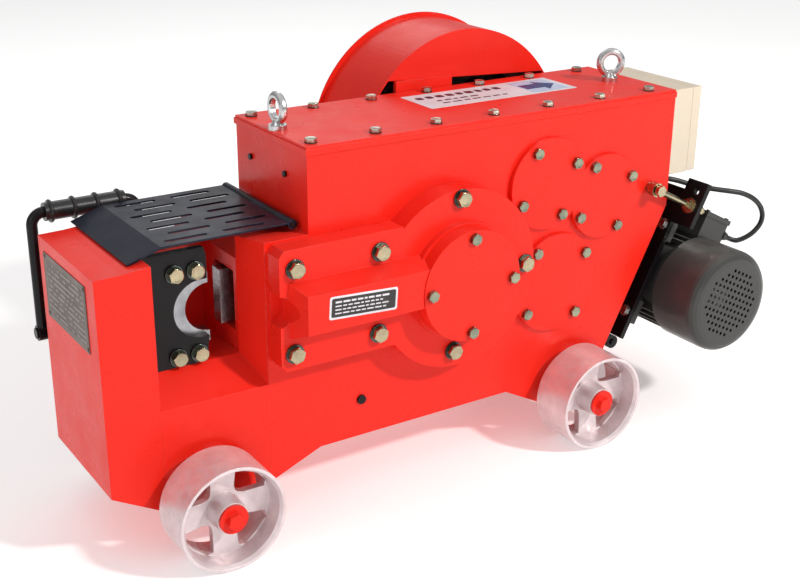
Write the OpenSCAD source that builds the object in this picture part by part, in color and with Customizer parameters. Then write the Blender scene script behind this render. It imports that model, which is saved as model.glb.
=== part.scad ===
// Electric rebar cutting machine: geared crank press on four cast wheels.
// Units are millimetres, +Z is up, the working front faces -Y and the motor is at +X.

/* [Body] */
// Width of the gear case between the outer faces of its two side walls
body_w = 240; // [200:1:300]
// Length of the gear case from the head to the switch box wall
body_l = 1118; // [1000:1:1300]
// Height of the lid top above the floor
case_top = 628; // [560:1:720]
// Height of the flat belly above the floor
belly_z = 112; // [90:1:140]
// Thickness of the side walls of the gear case
wall_t = 22; // [14:1:30]
// Thickness of the bolted lid
lid_t = 14; // [8:1:24]
// Length of the solid press head
head_l = 88; // [70:1:120]
// Height of the head top above the floor
head_top = 482; // [440:1:520]
// Height of the deck behind the throat
deck_z = 488; // [450:1:520]

/* [Throat] */
// Height of the throat floor above the floor
throat_z = 290; // [270:1:310]
// Depth of the funnel in front of the blade plate
funnel_d = 56; // [40:1:66]
// Thickness of the bolted blade plate
plate_t = 12; // [8:1:16]
// Thickness of each cutting blade
blade_t = 25; // [18:1:30]
// Right side of the throat pocket
pocket_x = 250; // [244:1:260]
// Left edge of the rear cheek
cheek_x = 209; // [200:1:220]

/* [Drive] */
// Height of the ram centre and of the crank centre above the floor
ram_z = 376; // [365:1:385]
// Distance of the crank centre from the head face
crank_x = 612.5; // [590:0.5:640]
// Eccentric radius of the crank
ecc = 37; // [28:0.5:40]
// Length of the connecting rod between its two bores
rod_l = 229.5; // [210:0.5:240]
// Teeth on the input pinion
teeth_a = 24; // [20:1:26]
// Teeth on the first gear
teeth_b1 = 69; // [60:1:72]
// Module of the first gear pair
mod_1 = 3; // [2.5:0.1:3.2]
// Teeth on the second pinion
teeth_b2 = 23; // [20:1:26]
// Teeth on the second gear
teeth_c1 = 67; // [60:1:70]
// Module of the second gear pair
mod_2 = 4; // [3.5:0.1:4.2]
// Teeth on the third pinion
teeth_c2 = 21; // [18:1:24]
// Teeth on the crank gear
teeth_d = 61; // [55:1:64]
// Module of the third gear pair
mod_3 = 6; // [5:0.1:6.2]
// Radius of the flywheel rim
flywheel_r = 206; // [180:1:214]
// Pitch radius of the motor pulley
pulley_r = 54; // [45:1:60]
// Number of V belts
belt_n = 3; // [2:1:4]

/* [Wheels] */
// Radius of the four cast wheels
wheel_r = 89; // [75:1:100]
// Tread width of the wheels
wheel_w = 82; // [60:1:95]
// Radius of the wheel axles
axle_r = 15; // [11:0.5:19]
// Distance of the front axle from the head face
axle1_x = 157.5; // [140:0.5:180]
// Distance of the rear axle from the head face
axle2_x = 902.4; // [880:0.5:920]

/* [Motor] */
// Radius of the motor fan cowl
cowl_r = 100; // [85:1:110]
// Length of the motor fan cowl
cowl_l = 106; // [85:1:125]
// Shaft height of the motor over its feet
motor_h = 100; // [90:1:115]
// Length of the finned motor frame
frame_l = 192; // [160:1:220]
// Gap between the slanted case wall and the motor plate
plate_gap = 45; // [35:1:55]
// Thickness of the motor plate
mplate_t = 10; // [6:1:14]

/* [Guard] */
// Outer radius of the belt guard over the flywheel
guard_r = 229; // [215:1:240]
// Width of the belt guard
guard_w = 162; // [130:1:180]
// Sheet thickness of the guard
sheet_t = 3; // [2:0.5:4]

/* [Switch box] */
// Height of the switch box
sbox_h = 160; // [120:1:200]
// Width of the switch box
sbox_w = 200; // [150:1:220]
// Depth of the switch box body
sbox_d = 42; // [30:1:60]
// Depth of the switch box lid
slid_d = 20; // [14:1:30]

/* [Fits] */
// Running clearance on a radius
run = 0.05; // [0.02:0.01:0.1]
// Gap between moving bodies that only pass each other
gap = 0.4; // [0.3:0.1:1]
// Radial clearance of a screw in its hole
screw_c = 0.2; // [0.1:0.1:1]

/* [Hidden] */

axle_z = wheel_r;
lid_z = case_top - lid_t;

// Slanted motor wall: two points, its outward normal and its downward direction
sl_top = [body_l, 408];
sl_bot = [body_l - 133.4, 144.5];
sl_v = sl_bot - sl_top;
sl_len = norm(sl_v);
sl_u = sl_v / sl_len;
sl_n = [-sl_u[1], sl_u[0]];
sl_ang = atan2(sl_n[1], sl_n[0]);

// Shaft centres
crank_z = ram_z - 2;
cd_3 = mod_3 * (teeth_c2 + teeth_d) / 2;
cd_2 = mod_2 * (teeth_b2 + teeth_c1) / 2;
cd_1 = mod_1 * (teeth_a + teeth_b1) / 2;
ang_3 = -15.5;
ang_2 = 53.8;
ang_1 = 161.8;
cp = [crank_x, crank_z];
cc = cp + cd_3 * [cos(ang_3), sin(ang_3)];
cb = cc + cd_2 * [cos(ang_2), sin(ang_2)];
ca = cb + cd_1 * [cos(ang_1), sin(ang_1)];

// Gear phases in degrees, each follower set in mesh with its driver
ph_a = 0;
ph_b1 = mesh(ph_a, teeth_a, teeth_b1, ang_1 + 180);
ph_b2 = 0;
ph_c1 = mesh(ph_b2, teeth_b2, teeth_c1, ang_2 + 180);
ph_c2 = 0;
ph_d = mesh(ph_c2, teeth_c2, teeth_d, ang_3 + 180);

// Layers across the body
y_pl = funnel_d;
y_fix = y_pl + plate_t;
y_shear = y_fix + blade_t;
y_mov = y_shear + gap;
y_cheek = body_w - 54;
y_c1 = 72;
y_c1e = 112;
y_b1 = 28;
y_b1e = 58;
y_d = 146;
y_de = 206;
y_rod = 84;
y_rode = 110;

// Ram
ram_h = 100;
ram_y0 = 70;
ram_y1 = 134;
ram_x0 = 284;
wrist_x = crank_x + ecc - rod_l;
ram_x1 = wrist_x + 42;
edge_x = 238;

// Motor axis
m_d = plate_gap + mplate_t + motor_h;
m_u = 124;
mc = sl_top + m_d * sl_n + m_u * sl_u;
y_cowl = -108;
y_mfr = y_cowl + cowl_l;
y_mde = y_mfr + frame_l;

// Flywheel and guard
y_guard = body_w + 10;
y_fly = y_guard + 22;
fly_w = 84;
belt_p = 22;
belt_h = 11;
belt_top = 17;
fly_b = flywheel_r - belt_h - 0.5;
pul_b = pulley_r - belt_h / 2;

// Origin: middle of the whole machine on the floor
pin_x0 = -8;
ox = (mc[0] + cowl_r + pin_x0) / 2;
oy = (y_cowl + y_guard + guard_w) / 2;

function mesh(ph, n1, n2, th) = th + 180 + (n1 * (th - ph) - 180) / n2;
function inv(a) = tan(a) * 180 / PI - a;
function half_ang(r, m, n) = let(rp = m * n / 2, rb = rp * cos(20), q = max(r, rb))
  90 / n + inv(20) - inv(acos(rb / q)) - 0.17 / rp * 180 / PI;
// Point in X and Z at distance d off the slanted wall and height h up its slope from the top
function sl(d, h) = sl_top + d * sl_n - h * sl_u;
function pol(c, r, a) = c + r * [cos(a), sin(a)];

module place() {
  translate([-ox, -oy, 0]) children();
}

// Outline in X and Z pushed along Y from y0 to y1
module slab(y0, y1) {
  translate([0, y1, 0]) rotate([90, 0, 0]) linear_extrude(height = y1 - y0) children();
}

module cyl_y(c, y0, y1, r, n = 64) {
  translate([c[0], y1, c[1]]) rotate([90, 0, 0]) cylinder(h = y1 - y0, r = r, $fn = n);
}

module hex_y(c, y0, y1, af, turn = 0) {
  translate([c[0], y1, c[1]]) rotate([90, 0, 0]) rotate([0, 0, turn])
    cylinder(h = y1 - y0, r = af / 2 / cos(30), $fn = 6);
}

module box(a, b) {
  translate(a) cube(b - a);
}

// Frame of the slanted wall: local x is outward, local y along Y, local z up the slope
module slant() {
  translate([sl_top[0], 0, sl_top[1]]) rotate([0, -sl_ang, 0]) children();
}

module gear_2d(m, n, ph) {
  rt = m * (n + 2) / 2;
  rp = m * n / 2;
  rr = m * (n - 2.5) / 2;
  pts = [for (i = [0 : n - 1]) for (k = [0 : 5])
    let(a = ph + i * 360 / n,
        r = [rr, rp, rt, rt, rp, rr][k],
        s = [-1, -1, -1, 1, 1, 1][k])
    r * [cos(a + s * half_ang(r, m, n)), sin(a + s * half_ang(r, m, n))]];
  polygon(pts);
}

module gear_y(c, y0, y1, m, n, ph) {
  translate([c[0], y1, c[1]]) rotate([90, 0, 0]) linear_extrude(height = y1 - y0) gear_2d(m, n, ph);
}

// Frame outline in X and Z
module frame_outline() {
  polygon([
    [0, 126], [0, head_top - 1], [head_l - 46, head_top], [head_l, head_top + 4],
    [head_l, 200], [pocket_x + 22, 200], [pocket_x + 22, deck_z], [349, deck_z],
    [349, lid_z], [body_l, lid_z], [body_l, 408], sl_bot,
    [sl_bot[0] - 36, axle_z - 16], [axle2_x + 42, 52], [axle2_x - 40, 52],
    [axle2_x - 68, 68.5], [752, belly_z], [365, belly_z], [axle1_x + 120, 77],
    [axle1_x + 50, 52], [axle1_x - 40, 52], [74, 84]
  ]);
}

module cavity_outline() {
  ti = 20;
  polygon([
    [pocket_x + 50, belly_z + 18], [pocket_x + 50, deck_z - 24], [349 + wall_t, deck_z - 24],
    [349 + wall_t, lid_z - 24], [body_l - wall_t, lid_z - 24], [body_l - wall_t, 413],
    sl_bot - ti * sl_n + [2, 6], [sl_bot[0] - 40, belly_z + 18]
  ]);
}

fixed_c = [206, ram_z];
plate_c = [190, ram_z + 4];

module jaw_outline(x1, c, r) {
  difference() {
    polygon([[head_l - 6, throat_z], [x1 - 8, throat_z], [x1, throat_z + 40],
      [x1, deck_z - 20], [x1 - 4, deck_z - 8], [head_l - 6, deck_z - 8]]);
    translate(c) circle(r = r, $fn = 64);
    translate([c[0], c[1] - r]) square([60, 2 * r]);
  }
}

module bearing_bores() {
  cyl_y(ca, -1, wall_t + 1, 36);
  cyl_y(cb, -1, wall_t + 1, 36);
  cyl_y(cc, -1, wall_t + 1, 52);
  cyl_y(cp, -1, wall_t + 1, 112, 96);
  cyl_y(ca, body_w - wall_t - 1, body_w + 1, 36);
  cyl_y(cb, body_w - wall_t - 1, body_w + 1, 36);
  cyl_y(cc, body_w - wall_t - 7, body_w + 1, 52);
  cyl_y(cp, body_w - wall_t - 7, body_w + 1, 72);
}

crank_bolt = [cp + [-1, 141], cp + [-11.5, -127], cp + [135.8, 2.6]];
slide_bolt = [[301.6, 453.5], [455, 452.5], [298.2, 313.4], [451.3, 313.6]];
big_bolt = concat(crank_bolt, slide_bolt);
cov_r = [82, 78, 92];
cov_b = [66, 66, 80];
cov_t = [8, 8, 8];
cov_c = [ca, cb, cc];
lid_bx = [for (i = [0 : 6]) 349 + 18.5 + i * (body_l - 349 - 68.5) / 6];
lid_by = [20, body_w - 20];
eye_p = [[363, 119], [1063, 119]];

// Whole welded frame: head, press bed and gear case
module frame_solid() {
  difference() {
    union() {
      difference() {
        slab(0, body_w) frame_outline();
        slab(wall_t, body_w - wall_t) cavity_outline();
        // opening under the lid
        box([349 + 44, 40, lid_z - 30], [body_l - 44, body_w - 40, lid_z + 1]);
      }
      // press bed between head and gear case, behind the funnel
      box([head_l - 1, 0, 190], [pocket_x + 24, body_w, throat_z]);
      box([pocket_x, 0, throat_z - 1], [pocket_x + 51, body_w, deck_z]);
      // jaw that carries the fixed blade, behind the blade plate
      slab(y_pl + plate_t, y_shear) jaw_outline(196, plate_c, 50);
      slab(y_shear - 0.5, body_w) jaw_outline(158, plate_c, 62);
      // rear cheek
      slab(y_cheek, body_w) polygon([[cheek_x, throat_z - 5], [pocket_x + 20, throat_z - 5],
        [pocket_x + 20, deck_z - 10], [cheek_x + 40, deck_z - 12], [cheek_x, deck_z - 50]]);
      // ledges that carry the ram liners
      box([pocket_x + 48, wall_t - 1, ram_z - 80], [470, 138, ram_z - ram_h / 2 - 12]);
      box([pocket_x + 48, wall_t - 1, ram_z + ram_h / 2 + 12], [470, 138, deck_z - 22]);
      // rear bearing bosses
      cyl_y(cp, body_w - wall_t - 6, body_w, 92);
      cyl_y(cc, body_w - wall_t - 6, body_w, 68);
    }
    // funnel at the front of the throat
    hull() {
      box([head_l, -1, 250], [272, 0, deck_z + 60]);
      box([head_l, y_pl, throat_z], [pocket_x, y_pl + 0.5, deck_z + 60]);
    }
    // bevelled shoulder that leads a bar down into the throat
    slab(y_pl, y_cheek) polygon([[pocket_x - 2, deck_z - 40], [pocket_x + 40, deck_z],
      [pocket_x + 40, deck_z + 40], [pocket_x - 2, deck_z + 40]]);
    // ram tunnel
    box([pocket_x - 60, ram_y0 - 3, ram_z - ram_h / 2 - gap],
      [pocket_x + 52, ram_y1 + gap, ram_z + ram_h / 2 + gap]);
    // slideway window under the front cover
    box([330, -1, ram_z - 42], [crank_x, wall_t + 1, ram_z + 48]);
    bearing_bores();
    // axle bores
    cyl_y([axle1_x, axle_z], -1, body_w + 1, axle_r + screw_c, 48);
    cyl_y([axle2_x, axle_z], -1, body_w + 1, axle_r + screw_c, 48);
    // bolt holes
    for (b = big_bolt) cyl_y(b, -1, wall_t + 1, 8 + screw_c, 24);
    for (x = lid_bx) for (y = lid_by)
      translate([x, y, lid_z - 22]) cylinder(h = 24, r = 5 + screw_c, $fn = 24);
    for (p = eye_p) translate([p[0], p[1], lid_z - 22]) cylinder(h = 24, r = 6 + screw_c, $fn = 24);
    // blade plate and blade screws
    for (b = blade_pt) cyl_y(b, y_pl - 1, y_shear + 1, 8 + screw_c, 24);
    // seat of the fixed blade
    slab(y_fix, y_shear) fixed_2d();
    // stud of the tension rod
    cyl_y(sl(-60, 16), -1, 17, 6 + screw_c, 24);
    // drain and sight plugs
    cyl_y([443.5, 179.5], -1, 12, 8, 32);
    translate([375, body_w / 2, belly_z - 1]) cylinder(h = 12, r = 9, $fn = 32);
  }
}

// The frame is welded from three castings that meet at these two planes
weld_x = [head_l, pocket_x + 22];

module frame_part(x0, x1) {
  intersection() {
    frame_solid();
    box([x0, -1, 0], [x1, body_w + 1, case_top]);
  }
}

// Gear case
module case() {
  color("firebrick") place() frame_part(weld_x[1], body_l + 1);
}

// Press bed with the jaw, the funnel and the rear cheek
module bed() {
  color("firebrick") place() frame_part(weld_x[0], weld_x[1]);
}

// Head column over the front axle
module head() {
  color("firebrick") place() frame_part(-1, weld_x[0]);
}

blade_pt = [[146, 445], [181, 445], [145, 306.5], [181, 306.5]];

module fixed_2d() {
  difference() {
    translate([140, ram_z - 58]) square([66, 116]);
    translate(fixed_c) circle(r = 40, $fn = 64);
    translate([fixed_c[0], fixed_c[1] - 40]) square([40, 80]);
  }
}

module lid() {
  color("red") place() difference() {
    union() {
      box([346, -3, lid_z], [body_l, body_w + 3, case_top - 4]);
      box([348, -1, lid_z], [body_l - 2, body_w + 1, case_top]);
    }
    for (x = lid_bx) for (y = lid_by)
      translate([x, y, lid_z - 1]) cylinder(h = lid_t + 2, r = 5 + screw_c, $fn = 24);
    for (p = eye_p) translate([p[0], p[1], lid_z - 1]) cylinder(h = lid_t + 2, r = 6 + screw_c, $fn = 24);
  }
}

module lid_bolts() {
  color("silver") place() for (x = lid_bx) for (y = lid_by) {
    translate([x, y, lid_z - 20]) cylinder(h = lid_t + 20.5, r = 5, $fn = 24);
    translate([x, y, case_top]) cylinder(h = 1.6, r = 10, $fn = 24);
    translate([x, y, case_top + 1.6]) cylinder(h = 6.4, r = 17 / 2 / cos(30), $fn = 6);
  }
}

// Lifting eyes: ring with a plain round bore
module eye(p, turn) {
  translate([p[0], p[1], 0]) {
    translate([0, 0, lid_z - 20]) cylinder(h = lid_t + 21, r = 6, $fn = 24);
    translate([0, 0, case_top]) cylinder(h = 8, r = 15, $fn = 48);
    translate([0, 0, case_top + 5]) cylinder(h = 10, r1 = 11, r2 = 8, $fn = 48);
    translate([0, 0, case_top + 34]) rotate([0, 0, turn]) rotate([90, 0, 0])
      rotate_extrude($fn = 64) polygon([[15, -4], [17, -6], [21, -6.5], [25, -5], [27, -2],
        [27, 2], [25, 5], [21, 6.5], [17, 6], [15, 4]]);
  }
}

module eye_bolts() {
  color("silver") place() {
    eye(eye_p[0], 90);
    eye(eye_p[1], -25);
  }
}

cov_y = -41;
cap_y = -79;
cap_r = 96;

module cover_2d(e = 0) {
  translate(cp) circle(r = 156 + e, $fn = 96);
  polygon([[275 - e, 296 - e], [284 - e, 285 - e], [500, 285 - e], [500, 485 + e],
    [284 - e, 485 + e], [275 - e, 474 + e]]);
}

module front_cover() {
  color("red") place() difference() {
    union() {
      slab(cov_y, 0) cover_2d();
      // raised slideway housing
      hull() {
        slab(cov_y - 1, cov_y) polygon([[290, 340], [540, 340], [540, 432], [290, 432]]);
        slab(cap_y + 2, cap_y + 3) polygon([[304, 354], [540, 354], [540, 418], [304, 418]]);
      }
      cyl_y(cp, cap_y + 26, cov_y + 1, 101, 96);
    }
    // hollow behind the cover
    slab(cov_y + 14, 1) polygon([[330, 336], [560, 336], [560, 424], [330, 424]]);
    cyl_y(cp, cov_y + 14, 1, 112, 96);
    // seat of the front crank bearing
    cyl_y(cp, cap_y + 20, 1, 58, 96);
    // recess that takes the round cap
    cyl_y(cp, cap_y - 1, cap_y + 26, cap_r + screw_c, 96);
    // rounded mouth at the end of the slideway housing
    cyl_y([272, 386], cov_y - 30, -8, 26, 48);
    for (b = big_bolt) cyl_y(b, cov_y - 1, 1, 8 + screw_c, 24);
    for (a = [0, 90, 180, 270]) cyl_y(pol(cp, 82, a), cap_y + 20, cap_y + 36, 5 + screw_c, 24);
  }
}

module crank_cap() {
  color("red") place() difference() {
    union() {
      cyl_y(cp, cap_y, cap_y + 26, cap_r, 96);
      cyl_y(cp, cap_y + 26, cap_y + 32, 57.9, 96);
    }
    cyl_y(cp, cap_y + 12, cap_y + 33, 46, 96);
    for (a = [0, 90, 180, 270]) cyl_y(pol(cp, 82, a), cap_y - 1, cap_y + 27, 5 + screw_c, 24);
  }
}

module cover_bolts() {
  color("goldenrod") place() for (b = big_bolt) {
    cyl_y(b, cov_y - 3, cov_y, 16, 32);
    hex_y(b, cov_y - 13, cov_y - 3, 24, 15);
    cyl_y(b, cov_y - 4, wall_t - 2, 8, 24);
  }
}

cov_turn = [27, 27, 36];

// Half plane past the meeting line of the two upper covers
module cover_flat(c, turn) {
  translate((ca + cb) / 2) rotate([0, 0, ang_1 + 180 + turn]) translate([gap / 2, -150]) square([150, 300]);
}

module bearing_covers() {
  color("red") place() for (i = [0 : 2]) difference() {
    union() {
      cyl_y(cov_c[i], -cov_t[i], 0, cov_r[i], 96);
      cyl_y(cov_c[i], -cov_t[i], 4, i == 2 ? 51.9 : 35.9, 64);
    }
    cyl_y(cov_c[i], -1, 5, i == 2 ? 34 : 24, 64);
    // straight edge where the two upper covers meet
    if (i == 0) slab(-9, 0) cover_flat(ca, 0);
    if (i == 1) slab(-9, 0) cover_flat(cb, 180);
    if (i == 2) cyl_y(cp, -9, 1, 156 + 0.5, 96);
    for (k = [0 : 3]) cyl_y(pol(cov_c[i], cov_b[i], cov_turn[i] + 90 * k), -9, 1, 5 + screw_c, 24);
  }
}

module bearing_bolts() {
  color("silver") place() for (i = [0 : 2]) for (k = [0 : 3]) {
    b = pol(cov_c[i], cov_b[i], cov_turn[i] + 90 * k);
    if (norm(b - cp) > 166) {
      hex_y(b, -cov_t[i] - 8, -cov_t[i], 18, 20 * k);
      cyl_y(b, -cov_t[i] - 1, 0, 5, 24);
    }
  }
  // the same screws hold the crank cap
  color("silver") place() for (a = [0, 90, 180, 270]) {
    hex_y(pol(cp, 82, a), cap_y - 8, cap_y, 18, 10);
    cyl_y(pol(cp, 82, a), cap_y - 1, cap_y + 34, 5, 24);
  }
}

module rear_covers() {
  color("firebrick") place() {
    for (i = [1, 2]) {
      c = cov_c[i];
      r = i == 1 ? 58 : 74;
      cyl_y(c, body_w, body_w + 6, r, 96);
      cyl_y(c, body_w - 3, body_w, i == 1 ? 35.9 : 51.9, 64);
      for (k = [0 : 3]) hex_y(pol(c, r - 12, 45 + 90 * k), body_w + 6, body_w + 9.5, 13, 12 * k);
    }
    cyl_y(cp, body_w, body_w + 5, 98, 96);
    cyl_y(cp, body_w - 3, body_w, 71.9, 64);
    for (k = [0 : 5]) hex_y(pol(cp, 84, 30 + 60 * k), body_w + 5, body_w + 9, 13, 12 * k);
    // input shaft seal flange
    difference() {
      cyl_y(ca, body_w, body_w + 6, 56, 96);
      cyl_y(ca, body_w - 1, body_w + 7, 22 + gap, 64);
    }
    for (k = [0 : 3]) hex_y(pol(ca, 46, 45 + 90 * k), body_w + 6, body_w + 9.5, 13, 12 * k);
  }
}

module ring_y(c, y0, y1, ro, ri) {
  difference() {
    cyl_y(c, y0, y1, ro, 64);
    cyl_y(c, y0 - 1, y1 + 1, ri, 64);
  }
}

module bearings() {
  color("silver") place() {
    for (c = [ca, cb]) {
      ring_y(c, 5, wall_t, 36, (c == ca ? 20 : 22) + run);
      ring_y(c, body_w - wall_t, body_w - 4, 36, 22 + run);
    }
    ring_y(cc, 5, wall_t, 52, 30 + run);
    ring_y(cc, body_w - wall_t - 6, body_w - 4, 52, 30 + run);
    ring_y(cp, body_w - wall_t - 6, body_w - 4, 72, 42 + run);
    ring_y(cp, cap_y + 33, -12, 58, 36 + run);
  }
}

module fixed_blade() {
  color("silver") place() slab(y_fix, y_shear) fixed_2d();
}

module blade_plate() {
  color("#222222") place() difference() {
    slab(y_pl, y_fix) jaw_outline(200, plate_c, 48);
    box([0, 0, 0], [head_l, body_w, 700]);
    for (b = blade_pt) cyl_y(b, y_pl - 1, y_fix + 1, 8 + screw_c, 24);
  }
}

module blade_bolts() {
  color("goldenrod") place() for (b = blade_pt) {
    cyl_y(b, y_pl - 3, y_pl, 15, 32);
    hex_y(b, y_pl - 13, y_pl - 3, 22, 10);
    cyl_y(b, y_pl - 4, y_shear - 2, 8, 24);
  }
}

module ram_liners() {
  color("peru") place() {
    box([pocket_x + 54, ram_y0, ram_z - ram_h / 2 - 12], [455, ram_y1, ram_z - ram_h / 2 - gap]);
    box([pocket_x + 54, ram_y0, ram_z + ram_h / 2 + gap], [455, ram_y1, ram_z + ram_h / 2 + 12]);
  }
}

module ram() {
  zc = ram_z;
  color("firebrick") place() difference() {
    union() {
      box([ram_x0, ram_y0, zc - ram_h / 2], [ram_x1, ram_y1, zc + ram_h / 2]);
      // nose that backs the moving blade
      box([edge_x + 8, y_mov + blade_t, zc - 46], [ram_x0 + 1, ram_y1, zc + 46]);
    }
    // seat of the moving blade
    box([edge_x - 1, y_mov - 30, zc - 60], [ram_x0 + 12, y_mov + blade_t, zc + 60]);
    // slot for the connecting rod
    box([wrist_x - 34, y_rod - gap, zc - 60], [ram_x1 + 1, y_rode + gap, zc + 60]);
    cyl_y([wrist_x, crank_z], ram_y0 - 1, ram_y1 + 1, 16, 64);
    // blade screws
    for (s = [-26, 26]) cyl_y([edge_x + 28, zc + s], y_mov + 4, ram_y1 - 4, 6, 24);
  }
}

module moving_blade() {
  zc = ram_z;
  color("silver") place() difference() {
    union() {
      difference() {
        box([edge_x, y_mov, zc - 46], [ram_x0 + 12, y_mov + blade_t, zc + 46]);
        for (s = [-26, 26]) {
          cyl_y([edge_x + 28, zc + s], y_mov - 1, y_mov + blade_t + 1, 6, 24);
          cyl_y([edge_x + 28, zc + s], y_mov - 1, y_mov + 9, 10, 32);
        }
      }
      for (s = [-26, 26]) {
        cyl_y([edge_x + 28, zc + s], y_mov + 1, y_mov + 9, 10, 32);
        cyl_y([edge_x + 28, zc + s], y_mov + 8, ram_y1 - 4, 6, 24);
      }
    }
    for (s = [-26, 26]) hex_y([edge_x + 28, zc + s], y_mov, y_mov + 6, 8);
  }
}

module wrist_pin() {
  color("silver") place() cyl_y([wrist_x, crank_z], ram_y0 + 1, ram_y1 - 1, 16, 64);
}

pin_c = cp + [ecc, 0];

module con_rod() {
  wc = [wrist_x, crank_z];
  color("dimgray") place() difference() {
    union() {
      cyl_y(wc, y_rod, y_rode, 30, 64);
      cyl_y(pin_c, y_rod, y_rode, 45, 64);
      slab(y_rod, y_rode) polygon([wc + [0, -22], pin_c + [0, -34], pin_c + [0, 34], wc + [0, 22]]);
    }
    // web relief on both faces
    for (y = [y_rod - 1, y_rode - 7]) slab(y, y + 8)
      polygon([wc + [42, -12], pin_c + [-58, -20], pin_c + [-58, 20], wc + [42, 12]]);
    cyl_y(wc, y_rod - 1, y_rode + 1, 16 + run, 64);
    cyl_y(pin_c, y_rod - 1, y_rode + 1, 24 + run, 64);
  }
}

module input_shaft() {
  color("gray") place() {
    cyl_y(ca, 5.5, wall_t + 2, 20, 64);
    difference() {
      union() {
        cyl_y(ca, wall_t + 1, y_fly + fly_w + 30, 22, 64);
        gear_y(ca, y_b1 - 3, y_b1e + 3, mod_1, teeth_a, ph_a);
      }
      cyl_y(ca, wall_t - 5, wall_t + 2, 20, 64);
    }
    hex_y(ca, y_fly + fly_w + 1, y_fly + fly_w + 20, 62);
  }
}

// One V groove or belt section: half widths at the inner and outer radius
module vee(r0, r1, w0, w1) {
  polygon([[r0, -w0], [r1, -w1], [r1, w1], [r0, w0]]);
}

belt_y = [for (i = [0 : belt_n - 1]) y_fly + fly_w / 2 + (i - (belt_n - 1) / 2) * belt_p];

module flywheel() {
  color("dimgray") place() difference() {
    union() {
      translate([ca[0], y_fly + fly_w, ca[1]]) rotate([90, 0, 0]) rotate_extrude($fn = 96)
        polygon([[22, 0], [52, 0], [52, 26], [168, 26], [168, 0], [flywheel_r, 0],
          [flywheel_r, fly_w], [168, fly_w], [168, fly_w - 26], [52, fly_w - 26],
          [52, fly_w], [22, fly_w]]);
    }
    for (y = belt_y) translate([ca[0], y, ca[1]]) rotate([90, 0, 0]) rotate_extrude($fn = 96)
      vee(fly_b - 2, flywheel_r + 1, belt_top / 2 - 3.8, belt_top / 2 + 1);
    for (k = [0 : 5]) cyl_y(pol(ca, 110, 60 * k), y_fly - 1, y_fly + fly_w + 1, 30, 48);
  }
}

module shaft_b() {
  color("gray") place() {
    cyl_y(cb, 5.5, y_b1, 22, 64);
    cyl_y(cb, y_b1, y_c1 - 4, 26, 64);
    gear_y(cb, y_c1 - 4, y_c1e + 2, mod_2, teeth_b2, ph_b2);
    cyl_y(cb, y_c1e + 2, body_w - wall_t - 8, 26, 64);
    cyl_y(cb, body_w - wall_t - 8, body_w - 5, 22, 64);
  }
}

module gear_web(c, y0, y1, ro, ri, holes, hr) {
  // lightening recess on both faces and round holes
  ring_y(c, y0 - 1, y0 + (y1 - y0) / 4, ro, ri);
  ring_y(c, y1 - (y1 - y0) / 4, y1 + 1, ro, ri);
  for (k = [0 : holes - 1]) cyl_y(pol(c, (ro + ri) / 2, 360 / holes * k), y0 - 1, y1 + 1, hr, 32);
}

module gear_b() {
  color("gray") place() difference() {
    gear_y(cb, y_b1, y_b1e, mod_1, teeth_b1, ph_b1);
    cyl_y(cb, y_b1 - 1, y_b1e + 1, 26, 64);
    gear_web(cb, y_b1, y_b1e, 88, 44, 6, 14);
  }
}

module shaft_c() {
  color("gray") place() {
    cyl_y(cc, 5.5, y_c1 - 2, 30, 64);
    cyl_y(cc, y_c1 - 2, y_d - 4, 36, 64);
    gear_y(cc, y_d - 4, y_de + 2, mod_3, teeth_c2, ph_c2);
    cyl_y(cc, y_de + 2, body_w - 5, 30, 64);
  }
}

module gear_c() {
  color("gray") place() difference() {
    gear_y(cc, y_c1, y_c1e, mod_2, teeth_c1, ph_c1);
    cyl_y(cc, y_c1 - 1, y_c1e + 1, 36, 64);
    gear_web(cc, y_c1, y_c1e, 116, 60, 6, 20);
  }
}

// The crank pin stops short of the rod on both sides: this is the opened pivot
module crankshaft() {
  color("gray") place() {
    cyl_y(cp, cap_y + 34, 40, 36, 64);
    cyl_y(cp, 40, 66, 76, 96);
    cyl_y(pin_c, 66, y_rod - gap, 24, 64);
    cyl_y(pin_c, y_rode + gap, 118, 24, 64);
    cyl_y(cp, 118, 138, 76, 96);
    cyl_y(cp, 138, y_de + 1, 46, 64);
    cyl_y(cp, y_de + 1, body_w - 5, 42, 64);
  }
}

module crank_gear() {
  color("gray") place() difference() {
    gear_y(cp, y_d, y_de, mod_3, teeth_d, ph_d);
    cyl_y(cp, y_d - 1, y_de + 1, 46, 64);
    gear_web(cp, y_d, y_de, 160, 76, 6, 28);
  }
}

module slot_2d(l, r) {
  translate([r, -r]) square([l - 2 * r, 2 * r]);
  translate([r, 0]) circle(r = r, $fn = 24);
  translate([l - r, 0]) circle(r = r, $fn = 24);
}

module throat_cover() {
  zt = 505;
  color("#1c2530") place() difference() {
    union() {
      slab(22, 260) polygon([[114, zt], [111, zt - 1], [60, zt - 18], [61.5, zt - 20.5],
        [112, zt - 4], [115, zt - 3], [326, zt - 3], [326, zt]]);
      // hinge knuckles
      difference() {
        union() {
          for (y = [[22, 70], [110, 150], [200, 260]]) {
            cyl_y([334, zt - 4], y[0], y[1], 8, 32);
            box([320, y[0], zt - 3], [334, y[1], zt]);
          }
        }
        cyl_y([334, zt - 4], 0, 270, 4 + run, 32);
      }
    }
    for (r = [0 : 6]) for (k = [0 : 1]) translate([128 + k * 96 + (r % 2) * 20, 42 + r * 33, zt - 10])
      linear_extrude(height = 20) slot_2d(70, 5);
  }
}

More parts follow.
